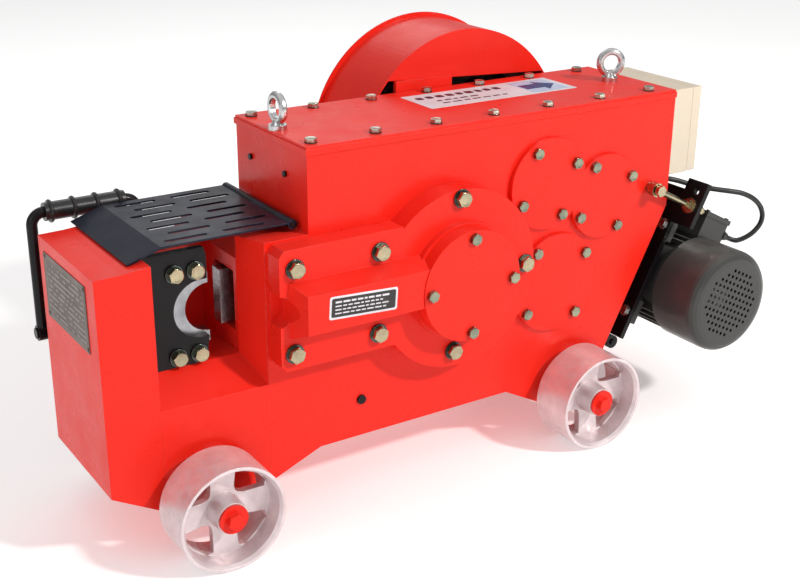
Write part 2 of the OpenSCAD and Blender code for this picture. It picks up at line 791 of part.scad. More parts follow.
module hinge_base() {
  zt = 505;
  color("#1a1a1a") place() {
    for (y = [[70 + gap, 110 - gap], [150 + gap, 200 - gap]]) {
      difference() {
        union() {
          cyl_y([334, zt - 4], y[0], y[1], 8, 32);
          box([328, y[0], deck_z], [340, y[1], zt - 4]);
          box([296, y[0], deck_z], [340, y[1], deck_z + 3]);
        }
        cyl_y([334, zt - 4], 0, 260, 4, 32);
      }
    }
    cyl_y([334, zt - 4], 20, 262, 4, 32);
  }
}

module nameplate() {
  color("tan") place() {
    box([-1.2, 36, 354], [0, 218, 461]);
    for (y = [42, 212]) for (z = [360, 455])
      translate([-2.4, y, z]) rotate([0, 90, 0]) cylinder(h = 1.2, r = 3, $fn = 24);
  }
}

module service_plugs() {
  color("#222222") place() {
    cyl_y([443.5, 179.5], -4, 12, 8, 32);
    translate([375, body_w / 2, belly_z - 12]) cylinder(h = 22, r = 9, $fn = 32);
    for (y = [70, 189]) translate([345, y, 569]) rotate([0, 90, 0]) cylinder(h = 4, r = 5, $fn = 24);
  }
}

near_y = [-98, -98 + wheel_w];
far_y = [body_w - near_y[1], body_w - near_y[0]];

module axles() {
  color("dimgray") place() for (x = [axle1_x, axle2_x]) {
    cyl_y([x, axle_z], near_y[0] + 6, far_y[1] - 6, axle_r, 48);
    cyl_y([x, axle_z], near_y[1] + gap, 0, axle_r + 8, 48);
    cyl_y([x, axle_z], body_w, far_y[0] - gap, axle_r + 8, 48);
  }
}

module wheel_bolts() {
  color("red") place() for (x = [axle1_x, axle2_x]) {
    cyl_y([x, axle_z], near_y[0] + 2, near_y[0] + 6, 24, 48);
    hex_y([x, axle_z], near_y[0] - 8, near_y[0] + 2, 24, 15);
    cyl_y([x, axle_z], far_y[1] - 6, far_y[1] - 2, 24, 48);
    hex_y([x, axle_z], far_y[1] - 2, far_y[1] + 8, 24, 15);
  }
}

// Cast wheel: local z is the outer side
module wheel_shape() {
  w = wheel_w;
  difference() {
    union() {
      rotate_extrude($fn = 96) polygon([[wheel_r - 11, 0], [wheel_r, 0], [wheel_r, w],
        [wheel_r - 5, w], [wheel_r - 9, w - 6], [wheel_r - 11, w * 0.55]]);
      rotate_extrude($fn = 96) polygon([[axle_r + run, 0], [axle_r + 13, 0], [axle_r + 15, 30],
        [axle_r + 11, w - 7], [axle_r + run, w - 7]]);
      rotate_extrude($fn = 96) polygon([[axle_r + 6, 24], [wheel_r - 8, 34], [wheel_r - 8, 46],
        [axle_r + 6, 38]]);
    }
    for (k = [0 : 3]) rotate([0, 0, 45 + 90 * k]) linear_extrude(height = w)
      polygon([[axle_r + 19, -3], [axle_r + 24, -11], [wheel_r - 24, -34], [wheel_r - 15, -27],
        [wheel_r - 13, 0], [wheel_r - 15, 27], [wheel_r - 24, 34], [axle_r + 24, 11], [axle_r + 19, 3]]);
  }
}

module wheel_near(x) {
  color("silver") place() translate([x, near_y[1], axle_z]) rotate([90, 0, 0]) wheel_shape();
}

module wheel_far(x) {
  color("silver") place() translate([x, far_y[0], axle_z]) rotate([-90, 0, 0]) wheel_shape();
}

module wheel_front_near() {
  wheel_near(axle1_x);
}

module wheel_front_far() {
  wheel_far(axle1_x);
}

module wheel_rear_near() {
  wheel_near(axle2_x);
}

module wheel_rear_far() {
  wheel_far(axle2_x);
}

sb_x = body_l + 2;
sb_z = case_top - 1 - sbox_h;

module switch_box() {
  color("wheat") place() difference() {
    box([body_l, 0, sb_z], [sb_x + sbox_d, sbox_w, sb_z + sbox_h]);
    box([sb_x + 3, 5, sb_z + 5], [sb_x + sbox_d + 1, sbox_w - 5, sb_z + sbox_h - 5]);
    translate([sb_x + sbox_d / 2, 64, sb_z - 1]) cylinder(h = 8, r = 8, $fn = 32);
    translate([sb_x + sbox_d / 2, 150, sb_z - 1]) cylinder(h = 8, r = 8, $fn = 32);
  }
}

lx = sb_x + sbox_d + gap;

module switch_lid() {
  color("wheat") place() difference() {
    union() {
      box([lx, 0, sb_z + 1], [lx + slid_d, sbox_w, sb_z + sbox_h]);
      // hinge barrel on the far edge
      translate([lx, sbox_w + 5.5, sb_z + 20]) cylinder(h = sbox_h - 40, r = 5, $fn = 32);
      box([lx, sbox_w - 1, sb_z + 20], [lx + 4, sbox_w + 6, sb_z + sbox_h - 20]);
    }
    box([lx - 1, 4, sb_z + 5], [lx + slid_d - 3, sbox_w - 4, sb_z + sbox_h - 4]);
    translate([lx, sbox_w + 5.5, sb_z]) cylinder(h = sbox_h, r = 2 + run, $fn = 32);
    for (z = btn_z) translate([lx - 1, sbox_w / 2, z]) rotate([0, 90, 0])
      cylinder(h = slid_d + 2, r = 11 + gap, $fn = 48);
    for (z = [sb_z + 14, sb_z + sbox_h - 14]) translate([lx - 1, 14, z]) rotate([0, 90, 0])
      cylinder(h = slid_d + 2, r = 2.5, $fn = 24);
  }
}

btn_z = [sb_z + sbox_h * 0.68, sb_z + sbox_h * 0.36];

module button(z) {
  translate([lx + slid_d - 16, sbox_w / 2, z]) rotate([0, 90, 0]) {
    cylinder(h = 22, r = 11, $fn = 48);
    cylinder(h = 3, r = 14, $fn = 48);
  }
}

module start_button() {
  color("green") place() button(btn_z[0]);
}

module stop_button() {
  color("red") place() button(btn_z[1]);
}

// Motor power lead from the switch box to the terminal box
cable_r = 5;
cable_mid = [
  [1141, 64, 455], [1143, 63, 449], [1148, 61, 443], [1154, 58, 440], [1162, 55, 439],
  [1171, 50, 438], [1183, 45, 435], [1198, 38, 430], [1215, 30, 424], [1232, 21, 419],
  [1249, 10, 416], [1266, 0, 413], [1284, -10, 410], [1304, -18, 405], [1328, -24, 393],
  [1347, -27, 376], [1358, -27, 356], [1359, -24, 336], [1349, -18, 318], [1335, -10, 306],
  [1320, -1, 300]
];
sbx_gland = [sb_x + sbox_d / 2, 64, sb_z];
tb_h = 117;
tb_end = mc + 49 * sl_n - tb_h * sl_u;
cable_pts = concat([[sbx_gland[0], 64, sb_z - 6]], cable_mid,
  [[tb_end[0] + 11 * sl_n[0], 8, tb_end[1] + 11 * sl_n[1]], [tb_end[0], 8, tb_end[1]]]);

module motor_cable() {
  color("#111111") place() sweep(cable_pts, cable_r, 10);
}

function unit(v) = v / norm(v);
function tangent(p, i) = unit(p[min(i + 1, len(p) - 1)] - p[max(i - 1, 0)]);
function frames(p, i = 0, up = [0, 1, 0], out = []) = i == len(p) ? out :
  let(t = tangent(p, i), s = unit(cross(t, up)), u = cross(s, t))
  frames(p, i + 1, u, concat(out, [[s, u]]));

module sweep(p, r, n) {
  f = frames(p);
  m = len(p);
  pts = [for (i = [0 : m - 1]) for (k = [0 : n - 1])
    p[i] + r * (f[i][0] * cos(360 * k / n) + f[i][1] * sin(360 * k / n))];
  sides = [for (i = [0 : m - 2]) for (k = [0 : n - 1])
    for (q = [[i * n + k, i * n + (k + 1) % n, (i + 1) * n + (k + 1) % n],
              [i * n + k, (i + 1) * n + (k + 1) % n, (i + 1) * n + k]]) q];
  ends = [[for (k = [n - 1 : -1 : 0]) k], [for (k = [0 : n - 1]) (m - 1) * n + k]];
  polyhedron(points = pts, faces = concat(sides, ends), convexity = 6);
}

module cable_glands() {
  color("#333333") place() {
    difference() {
      union() for (y = [64, 150]) translate([sbx_gland[0], y, sb_z - 6]) {
        cylinder(h = 12, r = 7.8, $fn = 32);
        cylinder(h = 6, r = 12, $fn = 6);
      }
      translate([sbx_gland[0], 150, sb_z - 7]) cylinder(h = 10, r = 5, $fn = 32);
    }
    slant() translate([m_d + 35, 8, tb_h - m_u]) rotate([0, 90, 0]) {
      cylinder(h = 14, r = 7.8, $fn = 32);
      cylinder(h = 7, r = 11, $fn = 6);
    }
  }
}

plate_y1 = 226;
ear_y = -37;
foot_h = 91;
foot_y = [27, 141];
hinge_h = -282;
hinge_d = plate_gap + mplate_t / 2;
rod_h = 16;
rod_y = -15;

module bolt_x(d0, d1, y, h, r, n = 24) {
  translate([d0, y, h]) rotate([0, 90, 0]) cylinder(h = d1 - d0, r = r, $fn = n);
}

module bar_y(d, h, y0, y1, r, n = 32) {
  translate([d, y1, h]) rotate([90, 0, 0]) cylinder(h = y1 - y0, r = r, $fn = n);
}

module motor_plate() {
  g0 = plate_gap;
  g1 = plate_gap + mplate_t;
  color("#1b1b1b") place() slant() difference() {
    union() {
      box([g0, 12, hinge_h], [g1, plate_y1, 44]);
      box([g0, ear_y, -24], [g1, 14, 66]);
      bar_y(hinge_d, hinge_h, 52, plate_y1 - 38, 11);
    }
    bar_y(hinge_d, hinge_h, 40, plate_y1 - 30, 6);
    box([g0 - 30, 11, hinge_h - 14], [g1 + 30, 52, hinge_h + 14]);
    box([g0 - 30, plate_y1 - 38, hinge_h - 14], [g1 + 30, plate_y1 + 1, hinge_h + 14]);
    for (y = foot_y) for (s = [-1, 1]) bolt_x(g0 - 1, g1 + 1, y, s * foot_h - m_u, 5 + screw_c);
    bolt_x(g0 - 1, g1 + 1, rod_y, rod_h, 8);
    bolt_x(g0 - 1, g1 + 1, rod_y - 1, rod_h + 29, 6);
  }
}

module plate_hinge() {
  color("#1b1b1b") place() slant() {
    for (y = [[30, 51.5], [plate_y1 - 37.5, plate_y1 - 16]]) difference() {
      union() {
        bar_y(hinge_d, hinge_h, y[0], y[1], 13);
        box([0, y[0], hinge_h - 4], [hinge_d, y[1], hinge_h + 13]);
      }
      bar_y(hinge_d, hinge_h, y[0] - 1, y[1] + 1, 6);
    }
    bar_y(hinge_d, hinge_h, 26, plate_y1 - 12, 6);
  }
}

module tension_rod() {
  g0 = plate_gap;
  g1 = plate_gap + mplate_t;
  color("goldenrod") place() {
    // stud through the front wall
    cyl_y(sl(-60, rod_h), -24, 15, 6, 32);
    hex_y(sl(-60, rod_h), -33, -24, 19, 10);
    slant() difference() {
      union() {
        bar_y(-60, rod_h, -22, -8, 13, 48);
        bolt_x(-60, 84, rod_y, rod_h, 6, 32);
        // washers and nuts that clamp the motor plate
        bolt_x(g0 - 3, g0, rod_y, rod_h, 15, 48);
        bolt_x(g0 - 13, g0 - 3, rod_y, rod_h, 11, 6);
        bolt_x(g1, g1 + 3, rod_y, rod_h, 15, 48);
        bolt_x(g1 + 3, g1 + 13, rod_y, rod_h, 11, 6);
        bolt_x(g1 + 13, g1 + 21, rod_y, rod_h, 11, 6);
      }
      bar_y(-60, rod_h, -23, -7, 6 + run, 48);
    }
    difference() {
      cyl_y(sl(-60, rod_h), -8, 0, 11, 48);
      cyl_y(sl(-60, rod_h), -9, 1, 6, 48);
    }
  }
}

module mot() {
  slant() translate([m_d, 0, -m_u]) children();
}

module cyl0(y0, y1, r, n = 96) {
  translate([0, y1, 0]) rotate([90, 0, 0]) cylinder(h = y1 - y0, r = r, $fn = n);
}

shaft_r = 14;

module motor_body() {
  color("#3a3d40") place() mot() difference() {
    union() {
      cyl0(y_mfr, y_mde, 84);
      cyl0(y_mfr - 8, y_mfr + 2.5, cowl_r - 2);
      cyl0(y_mde - 6, y_mde + 12, 94);
      cyl0(y_mde + 11, y_mde + 22, 40);
      for (a = [0 : 10 : 350]) if (abs(a - 90) > 28 && abs(a - 180) > 44)
        rotate([0, -a, 0]) translate([81, y_mfr + 4, -1.5]) cube([16, frame_l - 8, 3]);
      // feet
      for (s = [-1, 1]) {
        box([-motor_h, 12, s > 0 ? 62 : -110], [-motor_h + 12, 168, s > 0 ? 110 : -62]);
        for (y = [44, 93, 156])
          slab(y, y + 12) polygon([[-motor_h + 4, s * 104], [-motor_h + 4, s * 50], [-40, s * 50],
            [-38, s * 74]]);
      }
      // pad of the terminal box
      box([-32, 4, 60], [32, 72, 94]);
    }
    cyl0(y_mfr + 12, y_mde - 12, 61);
    cyl0(y_mfr - 9, y_mde + 23, shaft_r + run, 64);
    for (y = foot_y) for (s = [-1, 1]) bolt_x(-motor_h - 1, -motor_h + 13, y, s * foot_h, 5 + screw_c);
  }
}

module motor_cowl() {
  r = cowl_r;
  h = cowl_l;
  color("#45484c") place() mot() difference() {
    translate([0, y_mfr, 0]) rotate([90, 0, 0]) rotate_extrude($fn = 96) polygon([
      [r, 0], [r, h - 17], [r - 1.5, h - 10], [r - 6, h - 4], [r - 14, h - 0.8], [r - 22, h],
      [0, h], [0, h - 2], [r - 22, h - 2], [r - 13, h - 3], [r - 7, h - 6], [r - 3.4, h - 11],
      [r - 2, h - 17], [r - 2, 0]]);
    for (i = [-5 : 5]) for (j = [-5 : 5]) if (norm([i, j]) < 5.5)
      translate([i * 12, y_cowl + 6, j * 12]) rotate([90, 0, 0]) cylinder(h = 12, r = 3.4, $fn = 16);
  }
}

module terminal_box() {
  color("#26282a") place() mot() {
    box([-35, 1, 94], [35, 77, 138]);
    box([-37, -1, 138], [37, 79, 148]);
    for (x = [-30, 30]) for (y = [6, 72]) translate([x, y, 148]) cylinder(h = 2.5, r = 4, $fn = 24);
  }
}

module motor_bolts() {
  g0 = plate_gap;
  ft = plate_gap + mplate_t + 12;
  color("silver") place() slant() for (y = foot_y) for (s = [-1, 1]) {
    bolt_x(g0 - 2.5, g0, y, s * foot_h - m_u, 11, 32);
    bolt_x(g0 - 9, g0 - 2.5, y, s * foot_h - m_u, 9.8, 6);
    bolt_x(g0 - 3, ft + 10, y, s * foot_h - m_u, 5, 24);
    bolt_x(ft, ft + 8, y, s * foot_h - m_u, 9.8, 6);
  }
}

module motor_rotor() {
  color("silver") place() mot() {
    cyl0(y_cowl + 30, y_fly + fly_w + 4, shaft_r, 64);
    cyl0(y_mfr + 18, y_mde - 18, 60, 64);
    // cooling fan
    cyl0(y_cowl + 34, y_cowl + 66, 24, 48);
    cyl0(y_cowl + 62, y_cowl + 66, 82, 64);
    for (k = [0 : 7]) rotate([0, 45 * k, 0]) translate([20, y_cowl + 36, -1.5]) cube([60, 28, 3]);
  }
}

module motor_pulley() {
  color("dimgray") place() mot() difference() {
    cyl0(y_fly, y_fly + fly_w, pul_b + belt_h + 0.5, 96);
    cyl0(y_fly - 1, y_fly + fly_w + 1, shaft_r, 64);
    for (y = belt_y) translate([0, y, 0]) rotate([90, 0, 0]) rotate_extrude($fn = 96)
      vee(pul_b - 2, pul_b + belt_h + 1.5, belt_top / 2 - 3.8, belt_top / 2 + 1);
  }
}

// Line of the two belt centres
b_vec = mc - ca;
b_dist = norm(b_vec);
b_ang = atan2(b_vec[1], b_vec[0]);

module belt_2d(e) {
  hull() {
    translate(ca) circle(r = fly_b + e, $fn = 128);
    translate(mc) circle(r = pul_b + e, $fn = 64);
  }
}

// V belts in three steps that widen outwards, clear of the groove walls
module belts() {
  steps = [[0, 4, 4.9], [4, 8, 6.2], [8, belt_h, 7.6]];
  color("#151515") place() for (y = belt_y) for (s = steps)
    slab(y - s[2], y + s[2]) difference() {
      belt_2d(s[1]);
      belt_2d(s[0]);
    }
}

guard_m = 86;
gq = acos((guard_r - guard_m) / b_dist);

module guard_2d(e) {
  hull() {
    translate(ca) circle(r = guard_r + e, $fn = 128);
    translate(mc) circle(r = guard_m + e, $fn = 64);
  }
}

function gline(t, a) = (1 - t) * pol(ca, guard_r - 14, a) + t * pol(mc, guard_m - 14, a);
gtab = [pol(ca, guard_r - 14, 165), pol(ca, guard_r - 14, 245), gline(0.45, b_ang - gq),
  gline(0.14, b_ang + gq)];

module belt_guard() {
  y1 = y_guard + guard_w;
  color("red") place() difference() {
    union() {
      // rim
      slab(y_guard, y1) difference() {
        guard_2d(0);
        guard_2d(-sheet_t);
      }
      // far plate with its lip
      slab(y1 - sheet_t, y1) guard_2d(8);
      // near plate where the case does not cover it
      slab(y_guard, y_guard + sheet_t) difference() {
        guard_2d(0);
        polygon([[400, -200], [400, case_top + 20], [655, case_top + 20], [1020, case_top + 1],
          [body_l + 12, case_top + 1], sl(12, 0), sl(12, -sl_len), sl(12, -sl_len - 200)]);
      }
      for (p = gtab) cyl_y(p, body_w, y_guard + 10, 12.5, 32);
      // bracket between the case and the near plate
      box([668, body_w, lid_z - 24], [790, y_guard + sheet_t, lid_z - 1]);
      box([668, body_w + 4, lid_z - 2], [790, y_guard + sheet_t, case_top + 18]);
    }
    for (p = gtab) cyl_y(p, body_w - 1, y_guard + 11, 4 + screw_c, 24);
    cyl_y(mc, y_guard - 1, y_guard + 4, 34, 64);
  }
}

module guard_bolts() {
  color("silver") place() for (p = gtab) {
    hex_y(p, y_guard + 10, y_guard + 16, 13, 10);
    cyl_y(p, body_w, y_guard + 11, 4, 24);
  }
}

h_x = [4, 180];
h_y = 280;
h_z0 = 300;
h_z1 = 503;
h_r = 9;

module handle_bracket() {
  color("#222222") place() for (i = [0, 1]) {
    xa = i == 0 ? 14 : 158;
    xp = i == 0 ? pin_x0 : 158;
    box([xa - 8, body_w, h_z0 - 26], [xa + 20, body_w + 6, h_z0 + 26]);
    box([xa, body_w + 5, h_z0 - 14], [xa + 12, h_y, h_z0 + 14]);
    translate([xa, h_y, h_z0]) rotate([0, 90, 0]) cylinder(h = 12, r = 14, $fn = 48);
    translate([xp, h_y, h_z0]) rotate([0, 90, 0]) cylinder(h = 34, r = 6, $fn = 32);
    for (z = [-20, 20]) hex_y([xa + 6, h_z0 + z], body_w + 6, body_w + 11, 10, 0);
    translate([i == 0 ? pin_x0 : 190.4, h_y, h_z0]) rotate([0, 90, 0]) cylinder(h = 2.5, r = 9, $fn = 32);
  }
}

module pull_handle() {
  color("#1a1a1a") place() {
    for (i = [0, 1]) {
      xe = i == 0 ? -5 : 170.5;
      xw = i == 0 ? 18.5 : 19;
      difference() {
        union() {
          translate([xe, h_y, h_z0]) rotate([0, 90, 0]) cylinder(h = xw, r = 13, $fn = 48);
          translate([h_x[i], h_y, h_z0 + 8]) cylinder(h = h_z1 - h_z0 - 28, r = h_r, $fn = 32);
        }
        translate([-50, h_y, h_z0]) rotate([0, 90, 0]) cylinder(h = 300, r = 6 + run, $fn = 32);
      }
      // bend
      translate([h_x[i] + (i == 0 ? 20 : -20), h_y, h_z1 - 20]) rotate([90, 0, 0])
        rotate([0, 0, i == 0 ? 90 : 0]) rotate_extrude(angle = 90, $fn = 64)
        translate([20, 0]) circle(r = h_r, $fn = 32);
    }
    translate([h_x[0] + 20, h_y, h_z1]) rotate([0, 90, 0])
      cylinder(h = h_x[1] - h_x[0] - 40, r = h_r, $fn = 32);
  }
}

module handle_grip() {
  n = 8;
  x0 = h_x[0] + 21;
  l = h_x[1] - h_x[0] - 42;
  color("#111111") place() translate([x0, h_y, h_z1]) rotate([0, 90, 0]) difference() {
    union() {
      cylinder(h = l, r = 15, $fn = 48);
      for (k = [0 : 3]) translate([0, 0, 6 + k * (l - 20) / 3]) rotate_extrude($fn = 48)
        polygon([[14, 0], [18, 1.5], [19, 4], [18, 6.5], [14, 8]]);
    }
    translate([0, 0, -1]) cylinder(h = l + 2, r = h_r, $fn = 32);
  }
}

case();
bed();
head();
lid();
lid_bolts();
eye_bolts();
front_cover();
crank_cap();
cover_bolts();
bearing_covers();
bearing_bolts();
rear_covers();
bearings();
fixed_blade();
blade_plate();
blade_bolts();
ram_liners();
hinge_base();
nameplate();
service_plugs();
axles();
wheel_bolts();
switch_box();
cable_glands();
motor_cable();
motor_plate();
plate_hinge();
tension_rod();
motor_body();
motor_cowl();
terminal_box();
motor_bolts();
belts();
belt_guard();
guard_bolts();
handle_bracket();
wheel_front_near();
wheel_front_far();
wheel_rear_near();
wheel_rear_far();
ram();
moving_blade();
wrist_pin();
con_rod();
input_shaft();
flywheel();
shaft_b();
gear_b();
shaft_c();
gear_c();
crankshaft();
crank_gear();
motor_rotor();
motor_pulley();
throat_cover();
switch_lid();
start_button();
stop_button();
pull_handle();
handle_grip();
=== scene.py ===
import math
import random

import bmesh
import bpy
from mathutils import Matrix, Vector


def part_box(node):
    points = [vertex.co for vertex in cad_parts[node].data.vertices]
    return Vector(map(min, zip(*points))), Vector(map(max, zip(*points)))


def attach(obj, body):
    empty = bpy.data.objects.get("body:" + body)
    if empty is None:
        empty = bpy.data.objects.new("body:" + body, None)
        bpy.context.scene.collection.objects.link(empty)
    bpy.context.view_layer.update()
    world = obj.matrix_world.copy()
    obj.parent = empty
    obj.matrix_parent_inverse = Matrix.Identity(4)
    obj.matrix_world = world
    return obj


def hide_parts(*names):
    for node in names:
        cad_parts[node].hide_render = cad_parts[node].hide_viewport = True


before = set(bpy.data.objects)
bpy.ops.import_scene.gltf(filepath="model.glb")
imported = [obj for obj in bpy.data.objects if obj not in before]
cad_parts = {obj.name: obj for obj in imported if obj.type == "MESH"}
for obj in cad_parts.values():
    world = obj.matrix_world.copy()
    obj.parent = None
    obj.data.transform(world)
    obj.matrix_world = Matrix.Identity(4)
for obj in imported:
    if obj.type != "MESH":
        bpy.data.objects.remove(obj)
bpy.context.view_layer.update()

MM = 0.001
TAU = 2 * math.pi

# ---------------------------------------------------------------- camera

CAMERA_AZIMUTH = -33.24
CAMERA_ELEVATION = 21.51
CAMERA_ROLL = 0.47
CAMERA_LENS = 57.15
CAMERA_SENSOR = 36
CAMERA_PLACE = Vector((-1.19992, -1.79047, 1.13217))


def add_camera():
    """Camera at the angle of the photograph."""
    data = bpy.data.cameras.new("camera")
    data.lens = CAMERA_LENS
    data.sensor_width = CAMERA_SENSOR
    data.clip_start = 0.05
    data.clip_end = 500
    cam = bpy.data.objects.new("camera", data)
    bpy.context.scene.collection.objects.link(cam)
    a = math.radians(CAMERA_AZIMUTH)
    e = math.radians(CAMERA_ELEVATION)
    back = Vector((math.sin(a) * math.cos(e), -math.cos(a) * math.cos(e), math.sin(e)))
    right = (-back).cross(Vector((0, 0, 1))).normalized()
    up = right.cross(-back)
    r = math.radians(CAMERA_ROLL)
    right2 = math.cos(r) * right + math.sin(r) * up
    up2 = -math.sin(r) * right + math.cos(r) * up
    cam.matrix_world = Matrix((
        (right2.x, up2.x, back.x, CAMERA_PLACE.x),
        (right2.y, up2.y, back.y, CAMERA_PLACE.y),
        (right2.z, up2.z, back.z, CAMERA_PLACE.z),
        (0, 0, 0, 1),
    ))
    bpy.context.scene.camera = cam


add_camera()

# ---------------------------------------------------------------- materials


class Nodes:
    """Short names for building one material's node tree."""

    def __init__(self, name):
        self.mat = bpy.data.materials.new(name)
        self.mat.use_nodes = True
        self.tree = self.mat.node_tree
        self.shader = self.tree.nodes["Principled BSDF"]
        self.coords = self.tree.nodes.new("ShaderNodeTexCoord").outputs["Object"]

    def add(self, kind, **values):
        n = self.tree.nodes.new(kind)
        for k, v in values.items():
            setattr(n, k, v)
        return n

    def link(self, a, b):
        self.tree.links.new(a, b)

    def noise(self, scale, detail=3, rough=0.5, stretch=None):
        n = self.add("ShaderNodeTexNoise")
        n.inputs["Scale"].default_value = scale
        n.inputs["Detail"].default_value = detail
        n.inputs["Roughness"].default_value = rough
        source = self.coords
        if stretch:
            m = self.add("ShaderNodeMapping")
            m.inputs["Scale"].default_value = stretch
            self.link(source, m.inputs["Vector"])
            source = m.outputs["Vector"]
        self.link(source, n.inputs["Vector"])
        return n.outputs["Fac"]

    def span(self, value, a, b, to_a=0.0, to_b=1.0):
        n = self.add("ShaderNodeMapRange")
        n.inputs["From Min"].default_value = a
        n.inputs["From Max"].default_value = b
        n.inputs["To Min"].default_value = to_a
        n.inputs["To Max"].default_value = to_b
        self.link(value, n.inputs["Value"])
        return n.outputs["Result"]

    def math(self, op, a, b):
        n = self.add("ShaderNodeMath", operation=op)
        for socket, v in zip(n.inputs, (a, b)):
            if isinstance(v, (int, float)):
                socket.default_value = v
            else:
                self.link(v, socket)
        return n.outputs[0]

    def mix(self, fac, a, b):
        """Mixes two colours; a Mix node has its colour sockets at inputs 6 and 7 and at output 2."""
        n = self.add("ShaderNodeMix", data_type="RGBA")
        for place, v in ((0, fac), (6, a), (7, b)):
            if isinstance(v, (int, float)):
                n.inputs[place].default_value = v
            elif isinstance(v, tuple):
                n.inputs[place].default_value = (*v, 1)
            else:
                self.link(v, n.inputs[place])
        return n.outputs[2]

    def within(self, value, half):
        """1 where a value from 0 to 1 lies less than half from its middle, and 0 elsewhere."""
        away = self.math("ABSOLUTE", self.math("SUBTRACT", value, 0.5), 0)
        return self.math("LESS_THAN", away, half)

    def edges(self, radius):
        """Rounded normal, and a mask that is 1 on sharp edges."""
        b = self.add("ShaderNodeBevel", samples=6)
        b.inputs["Radius"].default_value = radius
        g = self.add("ShaderNodeNewGeometry")
        dot = self.add("ShaderNodeVectorMath", operation="DOT_PRODUCT")
        self.link(b.outputs["Normal"], dot.inputs[0])
        self.link(g.outputs["True Normal"], dot.inputs[1])
        mask = self.span(dot.outputs["Value"], 0.97, 0.75)
        return b.outputs["Normal"], mask

    def bump(self, height, strength, distance, normal=None):
        n = self.add("ShaderNodeBump")
        n.inputs["Strength"].default_value = strength
        n.inputs["Distance"].default_value = distance
        self.link(height, n.inputs["Height"])
        if normal is not None:
            self.link(normal, n.inputs["Normal"])
        return n.outputs["Normal"]

    def set(self, **values):
        for k, v in values.items():
            socket = self.shader.inputs[k.replace("_", " ")]
            if isinstance(v, (int, float)):
                socket.default_value = v
            elif isinstance(v, tuple):
                socket.default_value = (*v, 1) if len(v) == 3 else v
            else:
                self.link(v, socket)


def toned(colour, k):
    return tuple(c * k for c in colour)


def paint(name, colour, rough=0.30, coat=0.05, peel=0.10, grain=420, edge=1.2 * MM, dust=0.03, wear=0.4,
          shine=0.16):
    """Sprayed gloss paint: orange peel, a thin edge and a film of dust on what faces up."""
    n = Nodes(name)
    normal, mask = n.edges(edge)
    cloud = n.noise(5, 4, 0.6)
    fine = n.noise(60, 3, 0.6)
    base = n.mix(n.span(cloud, 0.35, 0.65), toned(colour, 0.93), colour)
    base = n.mix(n.math("MULTIPLY", n.span(fine, 0.55, 0.8), 0.10), base, toned(colour, 0.80))
    worn = n.math("MULTIPLY", n.math("MULTIPLY", mask, n.span(n.noise(35, 4, 0.7), 0.45, 0.7)), wear)
    base = n.mix(worn, base, tuple(min(1, 0.25 + 0.75 * c) for c in colour))
    up = n.add("ShaderNodeSeparateXYZ")
    g = n.add("ShaderNodeNewGeometry")
    n.link(g.outputs["Normal"], up.inputs[0])
    dusty = n.math("MULTIPLY", n.span(up.outputs["Z"], 0.6, 1.0), n.span(n.noise(14, 5, 0.65), 0.35, 0.75))
    base = n.mix(n.math("MULTIPLY", dusty, dust), base, (0.62, 0.50, 0.45))
    roughness = n.math("ADD", n.span(n.noise(18, 4, 0.6), 0.3, 0.7, rough * 0.75, rough * 1.3),
                       n.math("MULTIPLY", dusty, 0.12))
    normal = n.bump(n.noise(grain, 2, 0.5), peel, 0.4 * MM, normal)
    n.set(Base_Color=base, Roughness=roughness, Normal=normal, Coat_Weight=coat, Coat_Roughness=0.12,
          Specular_IOR_Level=shine)
    return n.mat


def metal(name, colour, rough=0.35, second=None, brushed=None, edge=0.5 * MM, rust=None, spots=0.0, grain=300,
          bump=0.15, metallic=1.0):
    """Bare or plated metal: cloudy tone, fine grain, bright or stained edges."""
    n = Nodes(name)
    normal, mask = n.edges(edge)
    second = second or toned(colour, 0.6)
    base = n.mix(n.span(n.noise(25, 5, 0.65), 0.35, 0.65), second, colour)
    if rust:
        base = n.mix(n.math("MULTIPLY", n.span(n.noise(70, 5, 0.7), 0.58, 0.72), spots), base, rust)
    base = n.mix(n.math("MULTIPLY", mask, 0.35), base, tuple(min(1, 1.25 * c + 0.08) for c in colour))
    streak = n.noise(grain, 3, 0.6, brushed)
    roughness = n.span(streak, 0.3, 0.7, rough * 0.7, rough * 1.35)
    normal = n.bump(streak, bump, 0.3 * MM, normal)
    n.set(Base_Color=base, Roughness=roughness, Normal=normal, Metallic=metallic)
    return n.mat


def plastic(name, colour, rough=0.45, grain=700, bump=0.12, edge=0.8 * MM, coat=0.0):
    """Moulded plastic or rubber, with a little grime."""
    n = Nodes(name)
    normal, mask = n.edges(edge)
    base = n.mix(n.span(n.noise(12, 4, 0.6), 0.35, 0.7), toned(colour, 0.82), colour)
    base = n.mix(n.math("MULTIPLY", mask, 0.4), base, tuple(min(1, 1.3 * c + 0.03) for c in colour))
    base = n.mix(n.math("MULTIPLY", n.span(n.noise(45, 5, 0.7), 0.55, 0.8), 0.25), base, (0.22, 0.19, 0.17))
    roughness = n.span(n.noise(40, 4, 0.6), 0.3, 0.7, rough * 0.8, rough * 1.25)
    normal = n.bump(n.noise(grain, 2, 0.5), bump, 0.3 * MM, normal)
    n.set(Base_Color=base, Roughness=roughness, Normal=normal, Coat_Weight=coat)
    return n.mat


